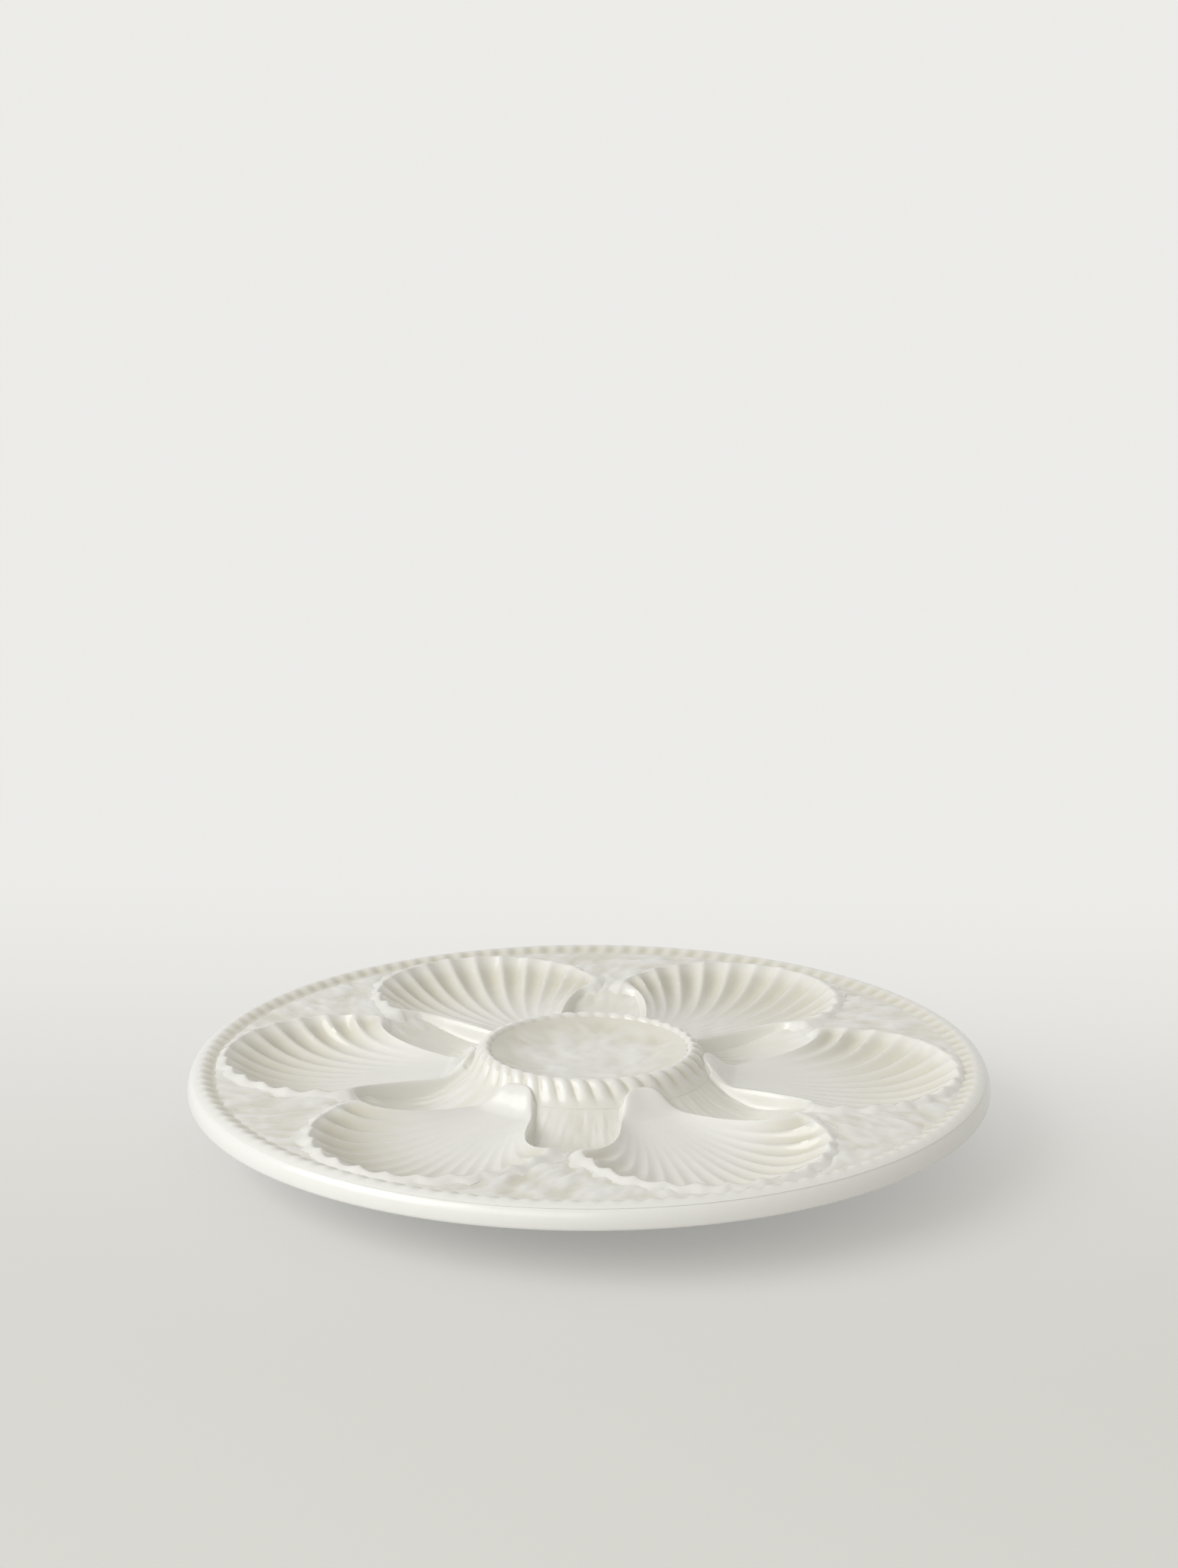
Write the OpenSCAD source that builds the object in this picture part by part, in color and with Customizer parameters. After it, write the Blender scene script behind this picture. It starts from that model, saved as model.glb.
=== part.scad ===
// Oyster plate: a round glazed ceramic plate with six fluted scallop wells round a raised sauce dish.
// The origin is the centre of the foot on the table. Shell 1 lies along +X.

/* [Plate] */
// Outer diameter of the plate
plate_d = 250; // [242:1:280]
// Height of the rim's top above the table
rim_h = 24; // [23.4:0.1:25]
// Height of the smooth outer band of the rim
band_h = 6.8; // [5:0.1:8]
// Width of the smooth outer band of the rim
band_w = 3.3; // [2.5:0.1:4]
// Height of the ground between the shells
ground_h = 23.2; // [22.8:0.1:23.8]

/* [Foot] */
// Diameter of the foot ring at its middle
foot_d = 140; // [136:1:144]
// Width of the foot ring where it joins the plate
foot_w = 9; // [7:0.5:10]
// Width of the flat that stands on the table
foot_flat_w = 3; // [2:0.5:5]
// Height of the foot ring
foot_h = 6; // [5:0.1:6.5]

/* [Boss and sauce dish] */
// Outer diameter of the rope round the sauce dish
boss_d = 70; // [68:0.5:71]
// Height of the boss under the rope
boss_h = 25.2; // [24.6:0.1:26]
// Height of the dish at its edge
dish_edge_h = 26.2; // [25.8:0.1:27]
// Height of the dish at its centre
dish_low_h = 24.4; // [24.2:0.1:25.4]
// Height of the flat that the dish is bedded on
dish_bed_h = 21.6; // [20.6:0.1:22.4]
// Diameter of the dome under the dish
dome_d = 64; // [60:1:66]
// Height of the dome's lowest point above the table
dome_h = 11; // [9:0.1:13]
// Height of the groove round the dome
groove_h = 16; // [15:0.1:16.2]
// Width of the groove round the dome
groove_w = 3; // [2:0.5:4]

/* [Rope mouldings] */
// Width of the rope round the dish
dish_rope_w = 5.8; // [4.5:0.1:6.5]
// Height of the rope round the dish
dish_rope_h = 4; // [3:0.1:5]
// Number of strands in the rope round the dish
dish_strands = 40; // [24:1:60]
// Width of the rope inside the rim
rim_rope_w = 5; // [4:0.1:5.4]
// Height of the rope inside the rim
rim_rope_h = 2.5; // [1.8:0.1:3]
// Depth of the rim rope's bed below the ground
rim_rope_bed = 1; // [0.5:0.1:1.4]
// Number of strands in the rope inside the rim
rim_strands = 130; // [80:1:140]
// Depth of the grooves between strands
strand_groove = 0.7; // [0.3:0.1:1]

/* [Shells] */
// Number of flutes in a shell
flutes = 14; // [8:1:16]
// Gap between the circles of two neighbouring shells
shell_gap = 1.1; // [0.8:0.1:8]
// Half angle of the fluted edge, seen from its centre
lip_angle = 99; // [90:1:100]
// Ground between a shell's lip and the rim rope
lip_margin = 1.3; // [1.2:0.1:3]
// Height of the lip
lip_h = 24.4; // [24:0.1:25]
// Height of the well's floor
well_h = 14.3; // [14.2:0.1:16]
// Height of the bed under the well
well_bed_h = 12.9; // [12.9:0.1:13.4]
// Outward reach of each tooth of the lip
tooth = 1.1; // [0:0.1:1.2]
// Height of the ribs at the lip
rib_h = 1.5; // [0.5:0.1:2]
// Distance of the neck from the plate's centre
neck_r = 46; // [45.5:0.5:50]
// Width of the neck
neck_w = 22; // [20:0.5:26]
// Height of the neck's floor
neck_h = 19; // [18.6:0.1:20]
// Height of the neck's side edges
neck_side_h = 20.2; // [19.6:0.1:21]
// Height of the bed under the neck
neck_bed_h = 17; // [16.8:0.1:17.4]
// Gap between the umbo and the dish's rope
umbo_gap = 1; // [0.5:0.1:2]
// Width of the umbo
umbo_w = 17; // [12:0.5:19]
// Height of the umbo
umbo_h = 26.6; // [26:0.1:27.5]
// Height of the umbo's side edges
umbo_side_h = 23.8; // [22.8:0.1:24.5]
// How far the umbo's corners lie behind its middle
umbo_round = 3; // [1:0.5:4]

/* [Niches] */
// Height of the niches between the shells
niche_h = 15.6; // [15:0.1:16.5]
// Radius of the niches' deepest line
niche_r = 55; // [53:0.5:58]
// Radius at which the niches reach the ground
niche_out_r = 80.5; // [76:0.5:84]

/* [Hidden] */

glaze_colour = "ivory";
well_colour = "floralwhite";
rope_colour = "cornsilk";

shell_count = 6;
plate_r = plate_d / 2;
boss_r = boss_d / 2;
dome_r = dome_d / 2;
dish_r = boss_r - dish_rope_w;
foot_in_r = foot_d / 2 - foot_w / 2;
foot_out_r = foot_d / 2 + foot_w / 2;
rope_out_r = plate_r - band_w;
rope_in_r = rope_out_r - rim_rope_w;
rope_bed_h = ground_h - rim_rope_bed;
rim_low_h = rim_h - band_h;
// The shells' circles touch the lip margin and keep the gap to their neighbours
turn_share = sin(180 / shell_count);
shell_r = (rope_in_r - lip_margin - shell_gap / (2 * turn_share)) / (1 + 1 / turn_share) - tooth;
shell_pos = rope_in_r - lip_margin - tooth - shell_r;
umbo_r = boss_r + umbo_gap;

// Overrun of every cut past the surface that it opens
over = 8;
// Steps along each curve of the turned profiles, and facets round them
curve_steps = 8;
turn_facets = 96;
// Bend of the flange under the rim: a higher power keeps it flat further out
flange_power = 1.2;
// The band from the flange up to the top: shares of its width and height. It is widest low down.
band_shares = [
    [0.6, 0], [0.92, 0.07], [1, 0.2], [0.99, 0.38], [0.91, 0.58], [0.76, 0.76], [0.54, 0.9], [0.28, 0.97],
    [0, 1]];
// Wall between the flange and the outer beds of the wells
bed_wall = 1.6;
// Curve of the boss's flank down to the niche
flank_power = 2;
// The hollow under the plate: shares of the way in from the foot and of the rise to the groove
hollow_shares = [
    [0.11, 0.2], [0.25, 0.3], [0.38, 0.37], [0.51, 0.46], [0.64, 0.58], [0.77, 0.73], [0.9, 0.91]];
// Rows of the neck: shares of the way from the umbo to the neck
neck_shares = [0, 0.35, 0.7];
// Middle of the neck's bed, as a share of that way
mid_neck_share = 0.6;
// Rows of the well: shares of the way from the neck to the lip
fan_shares = [0, 0.18, 0.36, 0.54, 0.7, 0.78, 0.86, 0.94, 1];
// Rows of the well that lie over its bed and over the bed under its rising end
well_bed_rows = 4;
slope_bed_rows = 2;
// Middle of the well's bed, as a share of its length
mid_well_share = 0.45;
// Samples across one flute
flute_steps = 4;
// Where a shell's side edge bends: shares of the way from the neck's end to the corner, along and across
bend_shares = [1, 0.34];
// How much further out the middle line bends, as a share of the well's length
middle_bend_share = 0.14;
// Powers that shape the well's end wall, its slope from the neck, its side walls and the fading ribs
end_power = 6;
slope_power = 2.5;
side_power = 3;
fade_power = 1.5;
// Steps over a rope's rounded back, and how far a strand leans in one step, as a share of its pitch
rope_steps = 4;
lean_share = 0.25;

function mix(a, b, t) = a + (b - a) * t;
function ease(t) = (1 - cos(180 * t)) / 2;

// The body's lower line: the dome under the dish, the hollow, the flange and the band of the rim
function dome_line() = [for (i = [0:curve_steps]) let (t = i / curve_steps)
    [dome_r * t, mix(dome_h, groove_h, t * t)]];
function hollow_line() = [for (i = [len(hollow_shares) - 1:-1:0]) let (s = hollow_shares[i])
    [mix(foot_in_r, dome_r + groove_w, s[0]), mix(foot_h, groove_h, s[1])]];
function flange_h(r) = mix(
    foot_h, rim_low_h, pow(max(r - foot_out_r, 0) / (rope_out_r - foot_out_r), flange_power));
function flange_line() = [for (i = [0:curve_steps]) let (r = mix(foot_out_r, rope_out_r, i / curve_steps))
    [r, flange_h(r)]];
function band_line() = [for (s = band_shares) [rope_out_r + band_w * s[0], mix(rim_low_h, rim_h, s[1])]];
// The body's upper line: the ground, the niche and the boss's flank
function crest_line() = [for (i = [0:curve_steps]) let (t = i / curve_steps)
    [mix(niche_out_r, niche_r, t), mix(ground_h, niche_h, sin(90 * t))]];
function flank_line() = [for (i = [1:curve_steps]) let (t = i / curve_steps)
    [mix(niche_r, boss_r, t), mix(niche_h, boss_h, pow(t, flank_power))]];
function body_outline() = concat(
    dome_line(), [[dome_r + groove_w, groove_h]], hollow_line(), [[foot_in_r, foot_h]],
    flange_line(), band_line(),
    [[rope_out_r, rope_bed_h], [rope_in_r, rope_bed_h], [rope_in_r, ground_h]], crest_line(), flank_line(),
    [[dish_r, boss_h], [dish_r, dish_bed_h], [0, dish_bed_h]]);

// The foot's rounded sides, from the flat on the table up to the plate
function foot_side(flat_r, top_r) = [for (i = [0:curve_steps]) let (a = 90 * i / curve_steps)
    [mix(flat_r, top_r, sin(a)), foot_h * (1 - cos(a))]];
function foot_outline() = let (mid = foot_d / 2, half = foot_flat_w / 2) concat(
    foot_side(mid + half, foot_out_r), [for (i = [curve_steps:-1:0]) foot_side(mid - half, foot_in_r)[i]]);

// The dish's hollow, from the axis to its edge
function dish_line() = [for (i = [0:curve_steps]) let (t = i / curve_steps)
    [dish_r * t, mix(dish_low_h, dish_edge_h, t * t * t)]];

// A shell seen from above. u runs across it from -1 to 1, v from the neck to the lip.
function umbo_pt(u) = [umbo_r + umbo_round * u * u, umbo_w / 2 * u];
function neck_pt(u) = [neck_r, neck_w / 2 * u];
function tooth_at(u) = tooth * abs(sin(180 * flutes * (u + 1) / 2));
function lip_pt(u) = let (a = lip_angle * u, r = shell_r + tooth_at(u))
    [shell_pos + r * cos(a), r * sin(a)];
corner = lip_pt(1);
well_len = shell_pos + shell_r - neck_r;
function bend_pt(u) = [
    mix(neck_r, corner[0], bend_shares[0]) + middle_bend_share * well_len * (1 - u * u),
    mix(neck_w / 2, corner[1], bend_shares[1]) * u];
function neck_side_pt(u, w) = umbo_pt(u) * (1 - w) + neck_pt(u) * w;
function fan_pt(u, v) = neck_pt(u) * pow(1 - v, 2) + bend_pt(u) * 2 * v * (1 - v) + lip_pt(u) * pow(v, 2);

// Heights of a shell's surface: the floor along its middle, its side edges and its ribs
function floor_h(v) = well_h
    + (lip_h - well_h) * pow(v, end_power) + (neck_h - well_h) * pow(1 - v, slope_power);
function edge_h(v) = mix(neck_side_h, lip_h, v);
function rib_at(u, v) = rib_h / 2 * pow(v, fade_power) * cos(360 * flutes * (u + 1) / 2);
function fan_h(u, v) = mix(floor_h(v), edge_h(v), pow(abs(u), side_power)) + rib_at(u, v);
function neck_top_h(u, w) = mix(
    mix(umbo_h, neck_h, ease(w)), mix(umbo_side_h, neck_side_h, w), pow(abs(u), side_power));

columns = flutes * flute_steps;
neck_rows = len(neck_shares);
rows = neck_rows + len(fan_shares);
row_n = columns + 1;
function across(i) = 2 * i / columns - 1;
function plan_pt(j, i) = j < neck_rows
    ? neck_side_pt(across(i), neck_shares[j])
    : fan_pt(across(i), fan_shares[j - neck_rows]);
function top_h(j, i) = j < neck_rows
    ? neck_top_h(across(i), neck_shares[j])
    : fan_h(across(i), fan_shares[j - neck_rows]);

// Beds of a shell, from the umbo out: the row where each starts, and its height. The outer two climb with
// the flange under them.
slope_row = neck_rows + well_bed_rows;
lip_row = slope_row + slope_bed_rows;
bed_rows = [0, neck_rows, slope_row, lip_row, rows - 1];
bed_heights = [
    neck_bed_h, well_bed_h, flange_h(plan_pt(lip_row, columns / 2)[0]) + bed_wall,
    flange_h(rope_in_r - lip_margin) + bed_wall];
last_bed = len(bed_heights) - 1;
function bed_of(j) = max([for (k = [0:last_bed]) if (bed_rows[k] <= j) k]);

// The outline of a bed, counter-clockwise, as row and column pairs of the grid. The neck line is one
// straight edge; the other ends follow every column.
function bed_loop(first, last) = concat(
    [for (j = [first:last]) [j, 0]],
    last != neck_rows ? [for (i = [1:columns - 1]) [last, i]] : [],
    [for (j = [last:-1:first]) [j, columns]],
    first != neck_rows ? [for (i = [columns - 1:-1:1]) [first, i]] : []);
function bed_outline(k) = [for (p = bed_loop(bed_rows[k], bed_rows[k + 1])) plan_pt(p[0], p[1])];

// Places in a shell's list of points: the surface, then a layer for each bed, then the middles of two beds
function on_top(j, i) = j * row_n + i;
function under(j, i, k) = ((k + 1) * rows + j) * row_n + i;
mid_neck = (last_bed + 2) * rows * row_n;
mid_well = mid_neck + 1;
function shell_points() = concat(
    [for (j = [0:rows - 1]) for (i = [0:columns]) concat(plan_pt(j, i), [top_h(j, i)])],
    [for (h = bed_heights) for (j = [0:rows - 1]) for (i = [0:columns]) concat(plan_pt(j, i), [h])],
    [[mix(umbo_r, neck_r, mid_neck_share), 0, neck_bed_h],
        [mix(neck_r, plan_pt(slope_row, columns / 2)[0], mid_well_share), 0, well_bed_h]]);
function quad(a, b, c, d) = [[a, b, c], [a, c, d]];
function turned(faces) = [for (f = faces) [f[2], f[1], f[0]]];
// One step of a side wall. It also meets the edge of the neighbouring bed that ends half way down it.
function side_faces(j, i) = let (
    k = bed_of(j), top = on_top(j, i), next = on_top(j + 1, i),
    low = under(j, i, k), low_next = under(j + 1, i, k),
    before = under(j, i, 0), after = under(j + 1, i, k + 1),
    faces = j == neck_rows ? [[top, next, before], [before, next, low_next], [before, low_next, low]]
        : j + 1 == slope_row || j + 1 == lip_row
        ? [[top, next, after], [top, after, low_next], [top, low_next, low]]
        : quad(top, next, low_next, low)) i == 0 ? faces : turned(faces);
// The inner beds are fans of triangles round their middles, the outer ones strips
function fan_faces(mid, k) = let (loop = bed_loop(bed_rows[k], bed_rows[k + 1]))
    [for (n = [0:len(loop) - 1]) let (a = loop[n], b = loop[(n + 1) % len(loop)])
        [mid, under(a[0], a[1], k), under(b[0], b[1], k)]];
function strip_faces(k) = [for (j = [bed_rows[k]:bed_rows[k + 1] - 1]) for (i = [0:columns - 1]) each
    quad(under(j, i, k), under(j + 1, i, k), under(j + 1, i + 1, k), under(j, i + 1, k))];
// The step up from one bed to the next, along a row of the well
function step_faces(k) = let (j = bed_rows[k]) [for (i = [0:columns - 1]) each
    quad(under(j, i, k), under(j, i + 1, k), under(j, i + 1, k - 1), under(j, i, k - 1))];
function shell_faces() = concat(
    [for (j = [0:rows - 2]) for (i = [0:columns - 1]) each
        quad(on_top(j, i), on_top(j, i + 1), on_top(j + 1, i + 1), on_top(j + 1, i))],
    [for (i = [0:columns - 1]) each concat(
        quad(on_top(0, i + 1), on_top(0, i), under(0, i, 0), under(0, i + 1, 0)),
        quad(on_top(rows - 1, i), on_top(rows - 1, i + 1),
            under(rows - 1, i + 1, last_bed), under(rows - 1, i, last_bed)))],
    [for (i = [0, columns]) for (j = [0:rows - 2]) each side_faces(j, i)],
    quad(under(neck_rows, columns, 0), under(neck_rows, 0, 0),
        under(neck_rows, 0, 1), under(neck_rows, columns, 1)),
    fan_faces(mid_neck, 0), fan_faces(mid_well, 1),
    strip_faces(2), step_faces(2), strip_faces(3), step_faces(3));

// A twisted rope ring with a flat bottom: the strands are the ridges between slanted grooves
function rope_points(mid_r, w, h, base_h, strands) = [for (k = [0:2 * strands - 1]) for (j = [0:rope_steps])
    let (a = 180 - 180 * j / rope_steps, turn = 180 / strands * (k + 2 * lean_share * j),
        groove = strand_groove * (k % 2) * sin(a), r = mid_r + (w / 2 - groove) * cos(a))
    [r * cos(turn), r * sin(turn), base_h + (h - groove) * sin(a)]];
function rope_faces(strands) = let (n = rope_steps + 1, count = 2 * strands) [for (k = [0:count - 1])
    let (p = k * n, q = (k + 1) % count * n) each concat(
        [for (j = [0:rope_steps - 1]) each [[p + j, q + j, q + j + 1], [p + j, q + j + 1, p + j + 1]]],
        [[p + rope_steps, q + rope_steps, q], [p + rope_steps, q, p]])];
module rope_ring(out_r, w, h, base_h, strands) {
    polyhedron(rope_points(out_r - w / 2, w, h, base_h, strands), rope_faces(strands));
}

module bed_cut(k) {
    translate([0, 0, bed_heights[k]]) linear_extrude(rim_h + over - bed_heights[k]) polygon(bed_outline(k));
}

module plate_body() {
    color(glaze_colour) difference() {
        rotate_extrude($fn = turn_facets) polygon(body_outline());
        for (n = [0:shell_count - 1]) rotate([0, 0, 360 / shell_count * n])
            for (k = [0:last_bed]) bed_cut(k);
    }
}

module foot_ring() {
    color(glaze_colour) rotate_extrude($fn = turn_facets) polygon(foot_outline());
}

module centre_dish() {
    color(well_colour) rotate_extrude($fn = turn_facets)
        polygon(concat([[0, dish_bed_h]], dish_line(), [[dish_r, dish_bed_h]]));
}

module centre_rope() {
    color(rope_colour) rope_ring(boss_r, dish_rope_w, dish_rope_h, boss_h, dish_strands);
}

module rim_rope() {
    color(rope_colour) rope_ring(rope_out_r, rim_rope_w, rim_rope_h, rope_bed_h, rim_strands);
}

module shell(number) {
    color(well_colour) rotate([0, 0, 360 / shell_count * (number - 1)])
        polyhedron(shell_points(), shell_faces());
}

plate_body();
foot_ring();
centre_dish();
centre_rope();
rim_rope();
shell(1);  // shell_1
shell(2);  // shell_2
shell(3);  // shell_3
shell(4);  // shell_4
shell(5);  // shell_5
shell(6);  // shell_6
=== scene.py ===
"""Oyster plate: a white glazed plate with six fluted scallop wells round a raised sauce dish.

Sizes are in metres. The plate stands on z = 0 with its axis on Z, and shell 1 lies along +X.
"""
import math
from typing import NamedTuple

import bpy
from bpy.props import FloatProperty, FloatVectorProperty, IntProperty, PointerProperty
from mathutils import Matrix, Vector, noise


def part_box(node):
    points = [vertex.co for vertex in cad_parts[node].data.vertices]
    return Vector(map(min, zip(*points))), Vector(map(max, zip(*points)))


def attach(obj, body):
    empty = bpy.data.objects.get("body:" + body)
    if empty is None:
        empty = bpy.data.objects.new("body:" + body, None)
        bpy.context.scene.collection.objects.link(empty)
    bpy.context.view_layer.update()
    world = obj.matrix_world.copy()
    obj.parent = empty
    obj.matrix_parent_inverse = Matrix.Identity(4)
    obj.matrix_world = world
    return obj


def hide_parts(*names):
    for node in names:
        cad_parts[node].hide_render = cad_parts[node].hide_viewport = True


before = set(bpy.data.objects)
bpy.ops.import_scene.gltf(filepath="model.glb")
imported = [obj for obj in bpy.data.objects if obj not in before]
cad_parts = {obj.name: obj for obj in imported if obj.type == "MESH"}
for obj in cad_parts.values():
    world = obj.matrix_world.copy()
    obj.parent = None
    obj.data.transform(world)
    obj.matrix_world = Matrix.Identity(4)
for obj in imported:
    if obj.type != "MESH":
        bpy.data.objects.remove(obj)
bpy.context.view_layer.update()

bl_info = {
    "name": "Oyster Plate",
    "version": (1, 0, 0),
    "blender": (4, 5, 0),
    "location": "View3D > Sidebar > Oyster Plate",
    "description": "Builds a glazed oyster plate with shell wells, a sauce dish and rope mouldings",
    "category": "Add Mesh",
}

# High.x of a box round the axis is the piece's radius
BODY_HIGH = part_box("plate_body")[1]
FOOT_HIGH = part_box("foot_ring")[1]
DISH_LOW, DISH_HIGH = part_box("centre_dish")
DISH_ROPE_LOW, DISH_ROPE_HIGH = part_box("centre_rope")
RIM_ROPE_LOW, RIM_ROPE_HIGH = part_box("rim_rope")
SHELL_LOW, SHELL_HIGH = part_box("shell_1")

SHELL_COUNT = 6
SECTOR = 2 * math.pi / SHELL_COUNT
MM = 0.001
# The least divisor, against a division by zero
TINY = 1e-12
# Marks of the kiln's pins on the underside
PIN_RADIUS = 111 * MM
PIN_ANGLES = [math.radians(a) for a in (27, 186, 290)]
PIN_SIZE, PIN_DEPTH = 2.6 * MM, 0.35 * MM
# Streaks are laid out on a ring of this radius. Their noise has a falloff, a step in scale and a count of
# layers.
STREAK_RING, STREAK_NOISE = 80 * MM, (0.9, 2.1, 3)
# Angles below which faces are shaded smoothly
TURNED_ANGLE, FLUTED_ANGLE = math.radians(35), math.radians(60)

# The frame already has a material with the slot's name, so the glaze has one of its own
GLAZE_NAME = "white_glaze"
# Scales of its noise, per metre: two for the tone and two for the surface
CLOUD_SCALE, MOTTLE_SCALE, SWELL_SCALE, SKIN_SCALE = 55.0, 260.0, 130.0, 700.0
# Clouds vary the pooled glaze and painted shade from this share up by this span, and mottle shifts it either
# way
CLOUD_LEAST, CLOUD_SPAN, MOTTLE_SHARE = 0.75, 0.5, 0.16
# Roughness of the glaze, and what the mottle and the bare pin marks add to it
GLAZE_ROUGHNESS, MOTTLE_ROUGHNESS, BARE_ROUGHNESS = 0.2, 0.1, 0.5
SKIN_SHARE, BUMP_STRENGTH, BUMP_DEPTH = 0.22, 0.5, 0.12 * MM
GLAZE_COAT = {"Coat Weight": 0.4, "Coat Roughness": 0.08, "IOR": 1.5}


def length(name, description, default):
    """A length that a user may change, in metres."""
    return FloatProperty(name=name, description=description, default=default, unit="LENGTH")


def degrees(name, description, default):
    """An angle that a user may change, with its default in degrees."""
    return FloatProperty(
        name=name, description=description, default=math.radians(default), subtype="ANGLE", unit="ROTATION")


def tint(name, description, default):
    """A colour that a user may change."""
    return FloatVectorProperty(
        name=name, description=description, subtype="COLOR", size=3, default=default, min=0, max=1)


class PlateSizes(bpy.types.PropertyGroup):
    """Sizes of the turned body and its foot."""

    radius: length("Radius", "Outer radius of the plate", BODY_HIGH.x)
    rim_height: length("Rim height", "Height of the rim's top", 24 * MM)
    band_height: length("Band height", "Height of the smooth outer band", 6.8 * MM)
    band_width: length("Band width", "Width of the smooth outer band", BODY_HIGH.x - RIM_ROPE_HIGH.x)
    rope_width: length("Rope width", "Width of the rope inside the rim", 5 * MM)
    ground: length("Ground", "Height of the ground between the shells", 23.2 * MM)
    niche: length("Niche height", "Height of the niches between the necks", 15.6 * MM)
    niche_radius: length("Niche radius", "Radius of the niches' deepest line", 55 * MM)
    niche_outer: length("Niche outer radius", "Radius at which the niches reach the ground", 80.5 * MM)
    relief: length("Relief", "Height of the streaks and swells of the ground", 0.8 * MM)
    foot_width: length("Foot width", "Width of the foot ring where it joins the plate", 9 * MM)
    foot_flat: length("Foot flat", "Width of the flat that stands on the table", 3 * MM)
    dish_low: length("Dish height", "Height of the dish at its centre", 23.4 * MM)
    dish_edge: length("Dish edge", "Height at which the dish meets the rope", 28 * MM)
    dish_reach: length("Dish reach", "Radius at which the dish meets the rope", 30.7 * MM)
    dome_height: length("Dome height", "Height of the dome's lowest point under the dish", 11 * MM)
    dome_radius: length("Dome radius", "Radius of the dome under the dish", 32 * MM)
    groove_height: length("Groove height", "Height of the groove round the dome", 16 * MM)


class ShellSizes(bpy.types.PropertyGroup):
    """Sizes of one scallop well."""

    flutes: IntProperty(name="Flutes", description="Flutes in one shell", default=14, min=4)
    radius: length("Edge radius", "Radius of the fluted edge", 37 * MM)
    half_angle: degrees("Edge half angle", "Half angle of the fluted edge", 99)
    tooth: length("Tooth", "Outward reach of each lobe of the edge", 1.1 * MM)
    lip: length("Lip height", "Height of the lip", 24.5 * MM)
    floor: length("Floor height", "Height of the well's floor", 14.4 * MM)
    rib: length("Rib height", "Height of the ribs", 1.7 * MM)
    neck_radius: length("Neck radius", "Distance of the neck from the plate's axis", 46 * MM)
    neck_width: length("Neck width", "Width of the neck between its side walls", 21.4 * MM)
    neck: length("Neck height", "Height of the neck's floor", 19 * MM)
    neck_side: length("Neck side height", "Height of the neck's side edges", 20.2 * MM)
    umbo_width: length("Umbo width", "Width of the umbo between its side walls", 13 * MM)
    umbo: length("Umbo height", "Height of the umbo", 26.6 * MM)
    umbo_side: length("Umbo side height", "Height of the umbo's side edges", 23.8 * MM)
    umbo_round: length("Umbo round", "How far the umbo's corners lie behind its middle", 3 * MM)
    skirt: length("Skirt", "Width of the soft fall from the lip to the ground", 3.2 * MM)
    wall: length("Wall", "Width of the steeper fall beside the neck", 1.1 * MM)


class RopeSizes(bpy.types.PropertyGroup):
    """Counts and cuts of the two rope mouldings."""

    dish_strands: IntProperty(
        name="Dish strands", description="Strands in the rope round the dish", default=40, min=8)
    rim_strands: IntProperty(
        name="Rim strands", description="Strands in the rope inside the rim", default=130, min=8)
    dish_groove: length("Dish groove", "Depth of the grooves in the rope round the dish", 0.85 * MM)
    rim_groove: length("Rim groove", "Depth of the grooves in the rope inside the rim", 0.5 * MM)


class GlazeColours(bpy.types.PropertyGroup):
    """Colours of the glaze."""

    white: tint("White", "Glaze over the high places", (0.87, 0.87, 0.855))
    # Pooled glaze and painted shade: grooves, flutes, wells and hollows are greyed toward this colour
    pooled: tint("Pooled", "Glaze where it pools in the grooves", (0.60, 0.565, 0.43))
    pin_mark: tint("Pin mark", "Bare clay at the kiln pins' marks", (0.42, 0.38, 0.30))


class StageSettings(bpy.types.PropertyGroup):
    """The floor, the lamps and the camera."""

    floor: tint("Floor", "Colour of the floor", (0.765, 0.765, 0.745))
    backdrop: tint("Backdrop", "Colour of the far floor and of what lies behind it", (0.84, 0.835, 0.815))
    key_power: FloatProperty(
        name="Key lamp", description="Power of the window lamp", default=74.0, unit="POWER")
    fill_power: FloatProperty(
        name="Fill lamp", description="Power of the fill lamp", default=4.0, unit="POWER")
    sky: FloatProperty(name="Sky", description="Strength of the light from all round", default=0.475)
    # The camera was fitted to edges of the plate in the photograph, and its turn then set
    distance: length("Distance", "Camera to the middle of the rim's top", 1.0)
    elevation: degrees("Elevation", "Angle of the line of sight above the table", 19.13)
    turn: degrees("Turn", "Turn of the plate against the line of sight", 5.0)
    pitch: degrees("Pitch", "Downward tilt of the camera", 14.17)


def mix(a, b, t):
    return a + (b - a) * t


def ease(t):
    return (1 - math.cos(math.pi * t)) / 2


def clamp(t, low=0.0):
    return min(max(t, low), 1.0)


def fade(start, end, value):
    """Rises smoothly from 0 at start to 1 at end."""
    return ease(clamp((value - start) / (end - start)))


def hermite(a, b, slope_a, slope_b, t):
    """A curve from a to b with the given slopes at its ends."""
    return (a * (2 * t ** 3 - 3 * t ** 2 + 1) + slope_a * (t ** 3 - 2 * t ** 2 + t)
            + b * (3 * t ** 2 - 2 * t ** 3) + slope_b * (t ** 3 - t ** 2))


def smooth_path(points, steps):
    """A smooth curve through the given points, with the given steps between two of them."""
    padded = [points[0], *points, points[-1]]
    path = [
        tuple(hermite(b, c, (c - a) / 2, (d - b) / 2, k / steps) for a, b, c, d in zip(*four))
        for four in zip(padded, padded[1:], padded[2:], padded[3:]) for k in range(steps)]
    return path + [points[-1]]


def take_over(form, sizes, names):
    """Gives a form the named sizes."""
    for name in names.split():
        setattr(form, name, getattr(sizes, name))


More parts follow.
